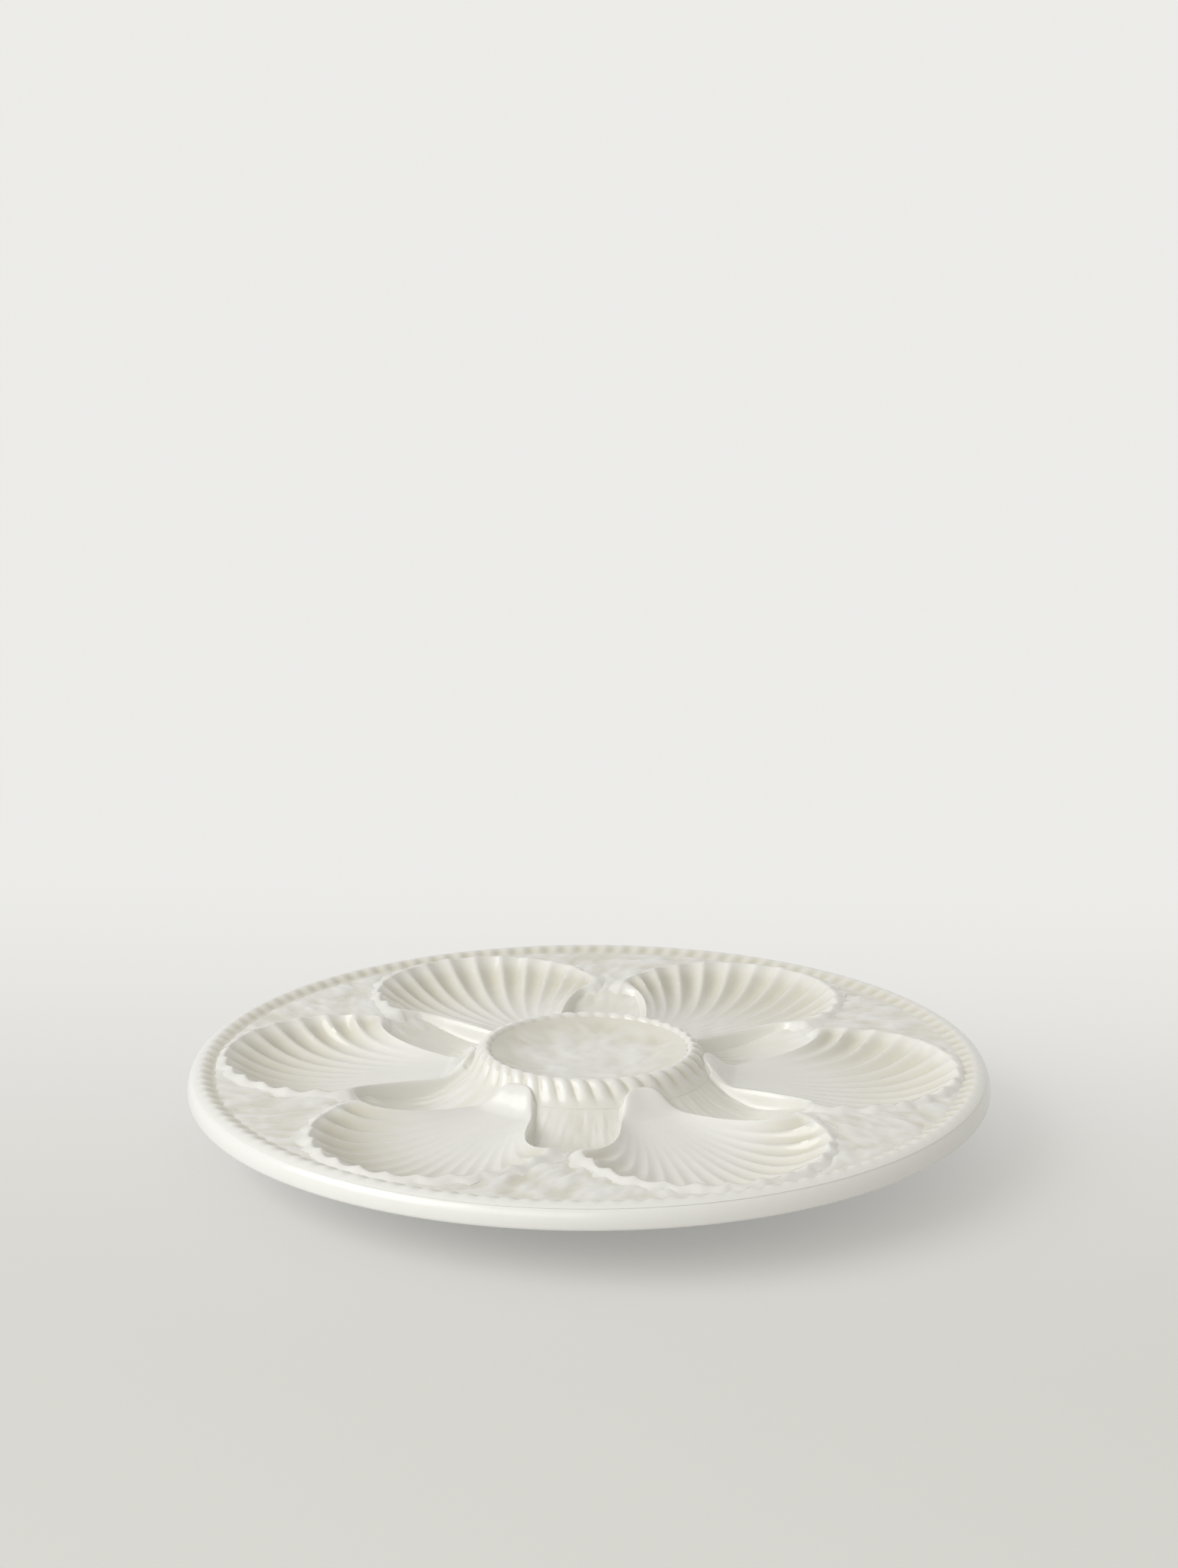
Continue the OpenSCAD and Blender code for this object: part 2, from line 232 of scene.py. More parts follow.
def streaks(x, y, twist, along, across, seed):
    """Noise drawn out along spirals round the axis: about -1 to 1."""
    r = math.hypot(x, y)
    angle = math.atan2(y, x) + twist * r
    place = Vector((STREAK_RING * math.cos(angle), STREAK_RING * math.sin(angle), 0)) / across
    place.z = r / along + seed
    return noise.fractal(place, *STREAK_NOISE)


class BodyForm:
    """The turned body: its radii, and the height of its face at any place."""

    # The hollow's curve: shares of the way in from the foot and of the rise to the groove
    HOLLOW_SHARES = [
        (0, 0), (0.11, 0.2), (0.25, 0.3), (0.38, 0.37), (0.51, 0.46), (0.64, 0.58), (0.77, 0.73),
        (0.9, 0.91), (1, 1)]
    GROOVE_WIDTH = 3 * MM
    FLANGE_POWER = 1.2
    # The band from the flange up to the top: shares of its width and height
    BAND_SHARES = [
        (0, 0), (0.6, 0), (0.92, 0.07), (1, 0.2), (0.99, 0.38), (0.91, 0.58), (0.76, 0.76), (0.54, 0.9),
        (0.28, 0.97), (0, 1)]
    # How far the niche's edge is rounded, as a share of its slope
    NICHE_EDGE = 0.05
    # The ground dips by DIP under the rope's inner side and ends LAP inside the channel
    DIP, LAP = 0.35 * MM, 1.5 * MM
    # Steps over the dome and the flange, and from point to point of the two curves
    DOME_STEPS, FLANGE_STEPS, HOLLOW_STEPS, BAND_STEPS = 8, 10, 2, 3
    # Finer rings beside the pin marks
    PIN_RINGS, PIN_RING_WIDTH = 4, 0.5 * MM
    GROUND_RING_WIDTH, FLANK_RING_WIDTH = 0.8 * MM, 1.25 * MM

    # The relief's pattern is shifted by slow noise of this size and reach
    WARP_SIZE, WARP_REACH = 14 * MM, 4 * MM
    # The ground's swells, streaks and finer streaks, and the upright streaks of the boss's flank: streaks by
    # twist, length, width and seed, each with its share of the relief's height
    SWELL_SIZE, SWELL_SHARE = 8 * MM, 0.65
    BARK, BARK_SHARE = (3.0, 9 * MM, 3.6 * MM, 3.0), 0.65
    FINE, FINE_SHARE = (3.0, 5 * MM, 1.7 * MM, 9.0), 0.15
    UPRIGHT, UPRIGHT_SHARE = (0.0, 12 * MM, 3.0 * MM, 5.0), 0.35
    # Radii over which the ground's relief sets in and the flank's runs out, and where the flank's sets in
    # beyond the boss's rope
    GROUND_START, FLANK_END, FLANK_START = (62 * MM, 80 * MM), (50 * MM, 62 * MM), (3 * MM, 7 * MM)
    # The ground's relief loses this share over this width in front of the rim's rope
    ROPE_LOSS, ROPE_EASE = 0.7, 3 * MM
    # The dish's blotches by size and share, their noise's level, and their share of the relief's height
    BLOTCHES, BLOTCH_LEVEL, DISH_SHARE = [(7 * MM, 0.7), (3.5 * MM, 0.45)], 5 * MM, 0.55
    # The dish's pole stays plain, and its blotches run out between these radii
    DISH_POLE, DISH_END = 3 * MM, (26 * MM, 31 * MM)

    def __init__(self, sizes):
        take_over(self, sizes, "band_width rim_height ground niche niche_radius niche_outer")
        take_over(self, sizes, "dome_radius dome_height")
        self.rope_out = sizes.radius - sizes.band_width
        self.rope_in = self.rope_out - sizes.rope_width
        self.rim_low = sizes.rim_height - sizes.band_height
        self.boss_radius = DISH_ROPE_HIGH.x
        self.boss_top = DISH_ROPE_LOW.z
        self.foot_in = FOOT_HIGH.x - sizes.foot_width
        self.groove = sizes.groove_height
        self.groove_radius = sizes.dome_radius + self.GROOVE_WIDTH
        self.relief_height = sizes.relief

    def turned(self, r):
        """Height of the turned face before it is textured."""
        if r >= self.niche_outer:
            return self.ground - self.DIP * fade(self.rope_in - self.LAP, self.rope_in + self.LAP, r)
        if r >= self.niche_radius:
            way = (self.niche_outer - r) / (self.niche_outer - self.niche_radius)
            way = math.hypot(way, self.NICHE_EDGE) - self.NICHE_EDGE
            return mix(self.ground, self.niche, math.sin(math.pi / 2 * way))
        way = clamp((self.niche_radius - r) / (self.niche_radius - self.boss_radius))
        return mix(self.niche, self.boss_top, way ** 2)

    def warped(self, x, y):
        """A place shifted by slow noise, which keeps the relief's pattern from running straight."""
        warp = noise.noise_vector(Vector((x, y, 0)) / self.WARP_SIZE) * self.WARP_REACH
        return x + warp.x, y + warp.y

    def relief(self, x, y):
        """The streaks and soft swells of the ground, and the finer upright streaks of the boss's flank."""
        r = math.hypot(x, y)
        rope = fade(self.rope_in - self.ROPE_EASE, self.rope_in, r)
        ground = fade(*self.GROUND_START, r) * (1 - self.ROPE_LOSS * rope)
        start, end = (self.boss_radius + distance for distance in self.FLANK_START)
        flank = (1 - fade(*self.FLANK_END, r)) * fade(start, end, r)
        height = 0.0
        if ground > 0:
            place = self.warped(x, y)
            swell = noise.noise(Vector((*place, 0)) / self.SWELL_SIZE)
            bark = streaks(*place, *self.BARK)
            fine = streaks(x, y, *self.FINE)
            height += ground * (self.SWELL_SHARE * swell + self.BARK_SHARE * bark + self.FINE_SHARE * fine)
        if flank > 0:
            height += flank * self.UPRIGHT_SHARE * streaks(x, y, *self.UPRIGHT)
        return self.relief_height * height

    def dish_relief(self, x, y):
        """The soft blotches of the dish, from its middle to its wall."""
        r = math.hypot(x, y)
        place = Vector((*self.warped(x, y), self.BLOTCH_LEVEL))
        height = sum(share * noise.noise(place / size) for size, share in self.BLOTCHES)
        shown = fade(0, self.DISH_POLE, r) * (1 - fade(*self.DISH_END, r))
        return self.DISH_SHARE * self.relief_height * height * shown

    def face(self, x, y):
        """Height of the textured face at a place."""
        return self.turned(math.hypot(x, y)) + self.relief(x, y)

    def flange(self, r):
        """Height of the underside between the foot and the band."""
        way = clamp((r - FOOT_HIGH.x) / (self.rope_out - FOOT_HIGH.x))
        return mix(FOOT_HIGH.z, self.rim_low, way ** self.FLANGE_POWER)

    def underside(self):
        """The lower line from the axis to the band, as radius and height pairs."""
        ways = [k / self.DOME_STEPS for k in range(self.DOME_STEPS)]
        line = [(self.dome_radius * way, mix(self.dome_height, self.groove, way ** 2)) for way in ways]
        groove = [(self.dome_radius, self.groove), (self.groove_radius, self.groove)]
        line += smooth_path(groove, self.HOLLOW_STEPS)[:-1]
        hollow = [
            (mix(self.foot_in, self.groove_radius, a), mix(FOOT_HIGH.z, self.groove, b))
            for a, b in reversed(self.HOLLOW_SHARES)]
        line += smooth_path(hollow, self.HOLLOW_STEPS)
        steps = self.FLANGE_STEPS
        reaches = [mix(FOOT_HIGH.x, self.rope_out, k / steps) for k in range(steps + 1)]
        reaches += [PIN_RADIUS + k * self.PIN_RING_WIDTH for k in range(-self.PIN_RINGS, self.PIN_RINGS + 1)]
        return line + [(r, self.flange(r)) for r in sorted(reaches)]

    def band(self):
        """The rounded outer band, from the flange's edge up to the rim's top."""
        return [
            (self.rope_out + self.band_width * clamp(a), mix(self.rim_low, self.rim_height, clamp(b)))
            for a, b in smooth_path(self.BAND_SHARES, self.BAND_STEPS)[1:]]

    def upper(self):
        """The upper line from the rope's channel in to the axis."""
        edge = self.rope_in + self.LAP
        line = [(self.rope_out, RIM_ROPE_LOW.z), (edge, RIM_ROPE_LOW.z)]
        rings = round((edge - self.niche_outer) / self.GROUND_RING_WIDTH)
        reaches = [mix(edge, self.niche_outer, k / rings) for k in range(rings)]
        rings = round((self.niche_outer - self.boss_radius) / self.FLANK_RING_WIDTH)
        reaches += [mix(self.niche_outer, self.boss_radius, k / rings) for k in range(rings + 1)]
        line += [(r, self.turned(r)) for r in reaches]
        return line + [
            (DISH_HIGH.x, self.boss_top), (DISH_HIGH.x, DISH_LOW.z), (0, DISH_LOW.z)]


class ShellForm:
    """One scallop well, lying along +X. u runs across it from -1 to 1, v from the neck to the lip."""

    # Where a side edge bends: shares of the way from the neck's end to the corner, along and across. The
    # middle bends this share of the length farther out.
    BEND_SHARES, MIDDLE_BEND_SHARE = (1, 0.5), 0.14
    # From this share of its half angle on, the edge draws in and its outer slope widens
    CORNER_START, CORNER_DRAW = 0.65, 1.2 * MM
    # Powers of the curves along the shell: its side edges, the slope out of the neck and the outer wall
    EDGE_POWER, NECK_POWER, WALL_POWER = 1.25, 2.5, 6
    # Powers of the curve across it, in the well and at the umbo, and how the umbo slopes at its end
    WELL_POWER, UMBO_POWER, UMBO_SLOPE = 3, 3.8, 3 * MM
    # A flute's section: how its ribs are rounded, then its least value and its span
    RIB_ROUND, RIB_LEAST, RIB_SPAN = 0.03, 0.173, 0.842
    # The ribs grow by this power up to this share of the way to the lip. They lose a share of their height
    # on the lip, and all of it on the side edges.
    RIB_POWER, RIB_FULL, LIP_START, LIP_LOSS, SIDE_START = 3, 0.85, 0.92, 0.6, 0.9
    # The lip takes up this share of the ground's relief
    RELIEF_START, RELIEF_SHARE = 0.93, 0.35
    # The skirt is narrow beside the neck and grows over this stretch to the lip's width. It is uneven by a
    # share, over a size, and a higher fall adds to it.
    SKIRT_GROWTH, UNEVEN_SHARE, UNEVEN_SIZE, FALL_SHARE = (0.7, 0.97), 0.8, 5 * MM, 0.25
    # It loses this share of the teeth, turns a touch less than the lip, and ends this deep in the body
    TOOTH_LOSS, LIP_TURN, SKIRT_DEPTH = 0.7, 0.999, 0.25 * MM
    # The step along a side edge for its direction, and the outline's steps at the umbo
    EDGE_STEP, UMBO_STEPS = 0.01, 4

    def __init__(self, sizes, body):
        take_over(self, sizes, "flutes radius half_angle tooth lip floor rib neck_radius neck neck_side")
        take_over(self, sizes, "umbo umbo_side umbo_round skirt wall")
        self.body = body
        self.neck_half = sizes.neck_width / 2
        self.umbo_radius = SHELL_LOW.x
        self.umbo_half = sizes.umbo_width / 2
        self.middle = SHELL_HIGH.x - sizes.tooth - sizes.radius
        self.length = self.middle + self.radius - self.neck_radius
        self.corner = self.lip_point(1)

    def wave(self, u):
        """0 between two flutes, 1 or -1 in the middle of one."""
        return math.sin(math.pi * self.flutes * (u + 1) / 2)

    def corner_draw(self, u):
        """How far the edge draws in at this place."""
        return self.CORNER_DRAW * fade(self.CORNER_START, 1, abs(u))

    def lip_point(self, u, reach=0.0):
        """A place on the edge, without teeth at a reach of 1."""
        angle = self.half_angle * u
        tooth = mix(self.tooth * abs(self.wave(u)), self.tooth, clamp(reach))
        r = self.radius + tooth - self.corner_draw(u)
        return Vector((self.middle + r * math.cos(angle), r * math.sin(angle)))

    def bend_point(self, u):
        return Vector((
            mix(self.neck_radius, self.corner.x, self.BEND_SHARES[0])
            + self.MIDDLE_BEND_SHARE * self.length * (1 - u * u),
            mix(self.neck_half, self.corner.y, self.BEND_SHARES[1]) * u))

    def plan(self, u, v):
        """Place seen from above. v is -1 at the umbo, 0 at the neck and 1 at the lip."""
        neck = Vector((self.neck_radius, self.neck_half * u))
        if v < 0:
            umbo = Vector((self.umbo_radius + self.umbo_round * u * u, self.umbo_half * u))
            return neck.lerp(umbo, -v)
        return neck * (1 - v) ** 2 + self.bend_point(u) * (2 * v * (1 - v)) + self.lip_point(u) * v ** 2

    def edge_height(self, v):
        if v < 0:
            return mix(self.neck_side, self.umbo_side, v * v)
        return mix(self.neck_side, self.lip, v ** self.EDGE_POWER)

    def floor_height(self, v):
        rise = self.neck - self.floor
        if v < 0:
            reach = (self.neck_radius - self.umbo_radius) / (2 * (self.bend_point(0).x - self.neck_radius))
            return hermite(self.neck, self.umbo, self.NECK_POWER * rise * reach, self.UMBO_SLOPE, -v)
        wall = (self.lip - self.floor) * v ** self.WALL_POWER
        return self.floor + wall + rise * (1 - v) ** self.NECK_POWER

    def valley(self, u):
        """1 in the middle of a flute, 0 on the crest of a rib, rounded as glaze rounds it."""
        return (math.sqrt(self.wave(u) ** 2 + self.RIB_ROUND) - self.RIB_LEAST) / self.RIB_SPAN

    def rib_gain(self, v):
        """How strongly the ribs stand out: nothing at the neck, most on the outer wall, less on the lip."""
        return clamp(v / self.RIB_FULL) ** self.RIB_POWER * (1 - self.LIP_LOSS * fade(self.LIP_START, 1, v))

    def height(self, u, v):
        power = mix(self.WELL_POWER, self.UMBO_POWER, clamp(-v))
        bowl = mix(self.floor_height(v), self.edge_height(v), abs(u) ** power)
        edge = 1 - fade(self.SIDE_START, 1, abs(u))
        place = self.plan(u, v)
        lip = self.RELIEF_SHARE * fade(self.RELIEF_START, 1, v) * self.body.relief(place.x, place.y)
        return bowl + self.rib * self.rib_gain(v) * edge * (0.5 - self.valley(u)) + lip

    def side_turn(self, u, v):
        """Direction out of the shell over its side edge, as an angle."""
        low, high = max(v - self.EDGE_STEP, -1), min(v + self.EDGE_STEP, 1)
        way = self.plan(u, high) - self.plan(u, low)
        return math.atan2(way.y, way.x) + math.copysign(math.pi / 2, u)

    def end_turn(self, u, v):
        """Direction out of the shell over its lip or its umbo, as an angle."""
        if v > 0:
            return self.half_angle * (self.LIP_TURN * u)
        return math.copysign(math.pi, u)

    def outline(self, count):
        """One half of the outline, from the tip of the lip to the umbo, without teeth."""
        steps = self.UMBO_STEPS
        points = [self.lip_point(k / count, 1) for k in range(count)]
        points += [self.plan(1, 1 - k / count) for k in range(count)]
        points += [self.plan(1, -k / steps) for k in range(steps)]
        points += [self.plan(1 - k / steps, -1) for k in range(steps + 1)]
        return points

    def point(self, across, along):
        """A point of the surface. Beyond 1 across or along it lies on the skirt that falls to the body."""
        u, v = clamp(across, -1.0), clamp(along, -1.0)
        beyond_u, beyond_v = abs(across) - abs(u), abs(along - v)
        reach = max(beyond_u, beyond_v)
        place, crest = self.plan(u, v), self.height(u, v)
        if reach <= 0:
            return Vector((place.x, place.y, crest))
        turn = self.side_turn(math.copysign(1, u), v)
        if beyond_v > 0:
            turn = mix(turn, self.end_turn(u, v), beyond_v / (beyond_u + beyond_v))
            if v >= 1:
                place = self.lip_point(u, self.TOOTH_LOSS * reach)
        fall = max(crest - self.body.turned(place.length), 0)
        lip = fade(*self.SKIRT_GROWTH, v)
        width = mix(self.wall, self.skirt + self.corner_draw(u), lip)
        width *= 1 + self.UNEVEN_SHARE * lip * noise.noise(Vector((*place, 0)) / self.UNEVEN_SIZE)
        width += self.FALL_SHARE * fall
        place = place + Vector((math.cos(turn), math.sin(turn))) * (width * reach)
        base = self.body.face(place.x, place.y) - self.SKIRT_DEPTH * reach
        return Vector((place.x, place.y, mix(crest, base, fade(0, 1, reach))))


def forms():
    """The body and the shell at the scene's present sizes."""
    scene = bpy.context.scene
    body = BodyForm(scene.oyster_plate)
    return body, ShellForm(scene.oyster_shell, body)


def deselect():
    if bpy.context.object and bpy.context.object.mode != "OBJECT":
        bpy.ops.object.mode_set(mode="OBJECT")
    bpy.ops.object.select_all(action="DESELECT")


def named(name):
    """Names the active object and its mesh."""
    piece = bpy.context.object
    piece.name = name
    piece.data.name = name
    return piece


def spun_piece(name, line, steps):
    """A line of radius and height pairs, drawn by extruding a vertex and turned round the axis."""
    deselect()
    bpy.ops.mesh.primitive_plane_add(size=1, location=(0, 0, 0))
    piece = named(name)
    bpy.ops.object.mode_set(mode="EDIT")
    bpy.ops.mesh.merge(type="CENTER")
    r, z = line[0]
    bpy.ops.transform.translate(value=(r, 0, z))
    for (r0, z0), (r1, z1) in zip(line, line[1:]):
        bpy.ops.mesh.extrude_region_move(TRANSFORM_OT_translate={"value": (r1 - r0, 0, z1 - z0)})
    bpy.ops.object.mode_set(mode="OBJECT")
    turn = piece.modifiers.new("turn", "SCREW")
    turn.angle = 2 * math.pi
    turn.steps = turn.render_steps = steps
    bpy.ops.object.modifier_apply(modifier=turn.name)
    close_up()
    return piece


def grid_piece(name, columns, rows):
    """A flat grid, and its vertices with the column and row of each."""
    deselect()
    bpy.ops.mesh.primitive_grid_add(
        x_subdivisions=columns, y_subdivisions=rows, size=2, location=(0, 0, 0))
    piece = named(name)
    return piece, [
        (vertex, round((vertex.co.x + 1) / 2 * columns), round((vertex.co.y + 1) / 2 * rows))
        for vertex in piece.data.vertices]


def edit_whole(step, **settings):
    """Runs a mesh operator on all of the active piece."""
    bpy.ops.object.mode_set(mode="EDIT")
    bpy.ops.mesh.select_all(action="SELECT")
    step(**settings)
    bpy.ops.object.mode_set(mode="OBJECT")


def close_up():
    """Merges the seam and the poles and turns the faces outward."""
    edit_whole(bpy.ops.mesh.remove_doubles, threshold=0.01 * MM)
    edit_whole(bpy.ops.mesh.normals_make_consistent, inside=False)


def set_pool(piece, values):
    """Stores how much glaze pools at each vertex, and how much shade is painted there."""
    layer = piece.data.attributes.new("pool", "FLOAT", "POINT")
    layer.data.foreach_set("value", [clamp(v) for v in values])


def finish_piece(piece, node, angle=TURNED_ANGLE):
    """Smooths a piece, gives it the glaze, hides the node that it stands for and hangs the piece under the
    root.
    """
    deselect()
    piece.select_set(True)
    bpy.context.view_layer.objects.active = piece
    bpy.ops.object.shade_smooth_by_angle(angle=angle)
    piece.data.materials.clear()
    piece.data.materials.append(glaze_material())
    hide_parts(node)
    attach(piece, "root")


class Wire:
    """A socket of a material, with arithmetic."""

    def __init__(self, tree, socket):
        self.tree = tree
        self.socket = socket

    def node(self, kind, settings=None, **values):
        """Adds a node, sets it up and fills its sockets. A name such as _1 gives a socket's place."""
        made = self.tree.nodes.new(kind)
        for key, value in (settings or {}).items():
            setattr(made, key, value)
        for key, value in values.items():
            place = int(key[1:]) if key[0] == "_" else key.replace("_", " ")
            if isinstance(value, Wire):
                self.tree.links.new(value.socket, made.inputs[place])
            else:
                made.inputs[place].default_value = value
        return made

    def out(self, kind, settings=None, output=0, **values):
        return Wire(self.tree, self.node(kind, settings, **values).outputs[output])

    def maths(self, operation, *values):
        places = {f"_{n}": v for n, v in enumerate(values)}
        return self.out("ShaderNodeMath", {"operation": operation}, **places)

    def __add__(self, other):
        return self.maths("ADD", self, other)

    def __mul__(self, other):
        return self.maths("MULTIPLY", self, other)

    def __sub__(self, other):
        return self.maths("SUBTRACT", self, other)

    def __rsub__(self, other):
        return self.maths("SUBTRACT", other, self)

    __radd__ = __add__
    __rmul__ = __mul__

    def clamped(self):
        return self.out("ShaderNodeClamp", Value=self)

    def ramp(self, low, high):
        """0 below low and 1 above high, with a smooth rise."""
        smooth = {"interpolation_type": "SMOOTHSTEP"}
        return self.out("ShaderNodeMapRange", smooth, Value=self, From_Min=low, From_Max=high)

    def blend(self, first, second):
        """A colour that goes from first to second as this value goes from 0 to 1."""
        return self.out("ShaderNodeMix", {"data_type": "RGBA"}, 2, _0=self, _6=first, _7=second)


def noise_value(place, scale, detail=3.0):
    return place.out("ShaderNodeTexNoise", Vector=place, Scale=scale, Detail=detail)


def colour4(colour):
    return (*colour, 1.0)


def seen_rays(wire):
    """1 for rays from the camera and for those that a glossy or clear surface sends on, else 0."""
    rays = wire.node("ShaderNodeLightPath")
    names = ("Is Camera Ray", "Is Glossy Ray", "Is Transmission Ray")
    camera, glossy, clear = (Wire(wire.tree, rays.outputs[name]) for name in names)
    return (camera + glossy + clear).clamped()


def new_material(name):
    material = bpy.data.materials.new(name)
    material.use_nodes = True
    tree = material.node_tree
    return material, tree, tree.nodes["Principled BSDF"]


def pin_spots():
    """Places of the marks that the kiln's pins left on the underside."""
    height = BodyForm(bpy.context.scene.oyster_plate).flange(PIN_RADIUS)
    return [(PIN_RADIUS * math.cos(a), PIN_RADIUS * math.sin(a), height) for a in PIN_ANGLES]


def pin_mark(place, spot):
    """1 on a pin mark and 0 off it."""
    distance = place.out("ShaderNodeVectorMath", {"operation": "DISTANCE"}, 1, _0=place, _1=spot)
    return 1 - distance.ramp(PIN_SIZE / 2, PIN_SIZE)


def glaze_material():
    """Glossy white glaze, greyer where it pools and where shade is painted into grooves and hollows, over a
    slightly uneven body.
    """
    material = bpy.data.materials.get(GLAZE_NAME)
    if material:
        return material
    colours = bpy.context.scene.oyster_glaze
    material, tree, shader = new_material(GLAZE_NAME)
    place = Wire(tree, tree.nodes.new("ShaderNodeTexCoord").outputs["Object"])
    pool = Wire(tree, place.node("ShaderNodeAttribute", {"attribute_name": "pool"}).outputs["Fac"])
    cloud = noise_value(place, CLOUD_SCALE)
    mottle = noise_value(place, MOTTLE_SCALE, 4.0)
    amount = (pool * (CLOUD_LEAST + CLOUD_SPAN * cloud) + MOTTLE_SHARE * (mottle - 0.5)).clamped()
    # Painted shade and pooled glaze: white is greyed toward the pooled colour by the stored amount
    glaze = amount.blend(colour4(colours.white), colour4(colours.pooled))
    first, second, third = (pin_mark(place, spot) for spot in pin_spots())
    bare = first + second + third
    tree.links.new(bare.blend(glaze, colour4(colours.pin_mark)).socket, shader.inputs["Base Color"])
    rough = GLAZE_ROUGHNESS + MOTTLE_ROUGHNESS * mottle + BARE_ROUGHNESS * bare
    tree.links.new(rough.socket, shader.inputs["Roughness"])
    swell = noise_value(place, SWELL_SCALE, 2.0)
    skin = noise_value(place, SKIN_SCALE, 2.0)
    height = swell + SKIN_SHARE * skin
    bump = place.node("ShaderNodeBump", Height=height, Strength=BUMP_STRENGTH, Distance=BUMP_DEPTH)
    tree.links.new(bump.outputs["Normal"], shader.inputs["Normal"])
    for name, value in GLAZE_COAT.items():
        shader.inputs[name].default_value = value
    return material


class OYSTER_OT_body(bpy.types.Operator):
    """Spin the body with its rim and underside, and texture its ground"""

    bl_idname = "oyster.body"
    bl_label = "Plate body"

    STEPS, OUTLINE_STEPS = 600, 40
    # Under the shells, and this far beyond them, the face is pressed down out of sight: to these heights
    # under necks and floors, with a fade of this width between, and never through this wall
    COVER, NECK_BED, FLOOR_BED, BED_FADE, LEAST_WALL = 0.3 * MM, 17 * MM, 13 * MM, 10 * MM, 0.8 * MM
    # Only what lies on the turned face, from the boss's rope to the channel, is textured
    FACE_NEAR, FACE_EDGE = 0.05 * MM, 0.1 * MM
    # Pooled glaze and painted shade on the level, and how much less of it there is at the relief's full
    # height, so the relief's hollows are greyer
    LEVEL_POOL, RELIEF_POOL = 0.24, 0.6

    def shell_cover(self, shell):
        """A test of whether a place lies under a shell, worked out once for one half of a sector."""
        outline = shell.outline(self.OUTLINE_STEPS)
        known = {}

        def covered(x, y):
            r = math.hypot(x, y)
            angle = (math.atan2(y, x) + SECTOR / 2) % SECTOR - SECTOR / 2
            key = (round(r / MM, 2), round(abs(angle) * self.STEPS))
            if key not in known:
                place = Vector((r * math.cos(angle), abs(r * math.sin(angle))))
                inside, near = False, 1.0
                for a, b in zip(outline, outline[1:] + outline[:1]):
                    if (a.y > place.y) != (b.y > place.y):
                        if place.x < a.x + (b.x - a.x) * (place.y - a.y) / (b.y - a.y):
                            inside = not inside
                for a, b in zip(outline, outline[1:]):
                    way = b - a
                    t = clamp((place - a).dot(way) / max(way.length_squared, TINY))
                    near = min(near, (place - a - way * t).length)
                known[key] = inside or near < self.COVER
            return known[key]

        return covered

    def execute(self, context):
        body, shell = forms()
        line = body.underside() + body.band() + body.upper()
        piece = spun_piece("plate_body_glazed", line, self.STEPS)
        covered = self.shell_cover(shell)
        pools = []
        inner, outer = body.boss_radius + self.FACE_EDGE, body.rope_in + body.LAP + self.FACE_EDGE
        spots = [Vector(spot) for spot in pin_spots()]
        for vertex in piece.data.vertices:
            x, y, z = vertex.co
            r = math.hypot(x, y)
            pool = 0.0
            if inner < r < outer and abs(z - body.turned(r)) < self.FACE_NEAR:
                if covered(x, y):
                    neck = shell.neck_radius
                    bed = mix(self.NECK_BED, self.FLOOR_BED, fade(neck, neck + self.BED_FADE, r))
                    vertex.co.z = max(bed, body.flange(r) + self.LEAST_WALL)
                else:
                    relief = body.relief(x, y)
                    vertex.co.z = z + relief
                    # Painted shade with pooled glaze: the relief's low places are greyer
                    pool = self.LEVEL_POOL - self.RELIEF_POOL * relief / body.relief_height
            elif z < body.rim_low:
                nearest = min((vertex.co - spot).length for spot in spots)
                vertex.co.z += PIN_DEPTH * (1 - fade(0, PIN_SIZE, nearest))
            pools.append(pool)
        set_pool(piece, pools)
        finish_piece(piece, "plate_body")
        return {"FINISHED"}


class OYSTER_OT_foot(bpy.types.Operator):
    """Spin the foot ring with its rounded sides"""

    bl_idname = "oyster.foot"
    bl_label = "Foot ring"

    # Steps round the axis, and of the rounding on each side
    STEPS, ROUND_STEPS = 360, 12

    def execute(self, context):
        body, _ = forms()
        middle, top = (body.foot_in + FOOT_HIGH.x) / 2, FOOT_HIGH.z
        flat = context.scene.oyster_plate.foot_flat / 2
        turns = [math.pi / 2 * k / self.ROUND_STEPS for k in range(self.ROUND_STEPS + 1)]
        line = [(mix(middle + flat, FOOT_HIGH.x, math.sin(a)), top * (1 - math.cos(a))) for a in turns]
        turns.reverse()
        line += [(mix(middle - flat, body.foot_in, math.sin(a)), top * (1 - math.cos(a))) for a in turns]
        piece = spun_piece("foot_ring_glazed", line + line[:1], self.STEPS)
        set_pool(piece, [0.0] * len(piece.data.vertices))
        finish_piece(piece, "foot_ring")
        return {"FINISHED"}


